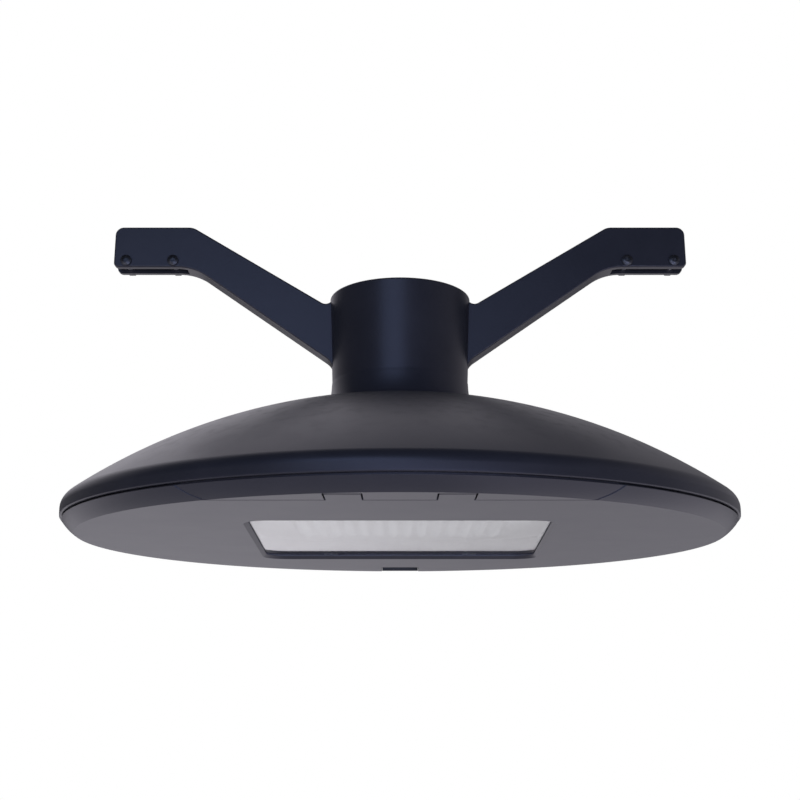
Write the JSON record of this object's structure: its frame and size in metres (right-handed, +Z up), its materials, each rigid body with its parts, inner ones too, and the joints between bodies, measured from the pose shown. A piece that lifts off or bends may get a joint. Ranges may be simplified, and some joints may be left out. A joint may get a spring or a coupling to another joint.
{
  "type": "garden light",
  "caption": "Round flat-bottomed LED area light with a shallow dome, a neck with raised clamp arms for a span wire, and a hinged underside door with a recessed window and latch.",
  "frame": {"origin": "centre of the lamp head on the plane of its flat underside", "axes": "+Z up along the neck, +X along the arms and the span wire, -Y towards the door hinge"},
  "size_m": [0.6, 0.6, 0.3041],
  "materials": {
    "graphite_paint": "satin",
    "stainless_steel": "satin",
    "black_plastic": "satin",
    "seal_rubber": "matte",
    "clear_glass": "gloss",
    "bare_aluminium": "satin",
    "white_board": "satin",
    "clear_lens": "gloss",
    "gear_case": "satin",
    "terminal_grey": "satin"
  },
  "bodies": {
    "housing": {"upper_housing": "graphite_paint", "neck": "graphite_paint", "left_arm": "graphite_paint", "right_arm": "graphite_paint", "hinge_block": "graphite_paint", "neck_cap": "graphite_paint", "clamp_bolts": "stainless_steel", "clamp_nuts": "stainless_steel", "hinge_pin": "stainless_steel", "hinge_block_screws": "stainless_steel", "latch_keeper": "stainless_steel", "keeper_screws": "stainless_steel", "tray_screws": "stainless_steel", "led_screws": "stainless_steel", "driver_screws": "stainless_steel", "neck_bolts": "stainless_steel", "neck_washers": "stainless_steel", "cap_screws": "stainless_steel", "arm_bolts": "stainless_steel", "gland_body": "black_plastic", "gland_nut": "black_plastic", "gland_locknut": "black_plastic", "neck_seal": "seal_rubber", "cap_seal": "seal_rubber", "gland_grommet": "seal_rubber", "gear_tray": "bare_aluminium", "led_heat_plate": "bare_aluminium", "led_board": "white_board", "led_lens_plate": "clear_lens", "led_driver": "gear_case", "surge_protector": "gear_case", "terminal_block": "terminal_grey"},
    "door": {"bottom_door": "graphite_paint", "door_seal": "seal_rubber", "window_glass": "clear_glass", "glass_seal": "seal_rubber", "glass_clips": "stainless_steel", "glass_clip_screws": "stainless_steel", "latch_pin": "stainless_steel", "latch_spring": "stainless_steel"},
    "latch": {"latch_lever": "black_plastic"}
  },
  "joints": [
    {"name": "door_hinge", "type": "hinge", "parent": "housing", "child": "door", "pos_m": [0, -0.275, 0.006], "axis": [-1, 0, 0], "range_deg": [0, 90]},
    {"name": "latch_pull", "type": "hinge", "parent": "door", "child": "latch", "pos_m": [0, 0.287, 0.0068], "axis": [1, 0, 0], "range_deg": [0, 35], "stiffness_Nm_per_rad": 0.15}
  ]
}
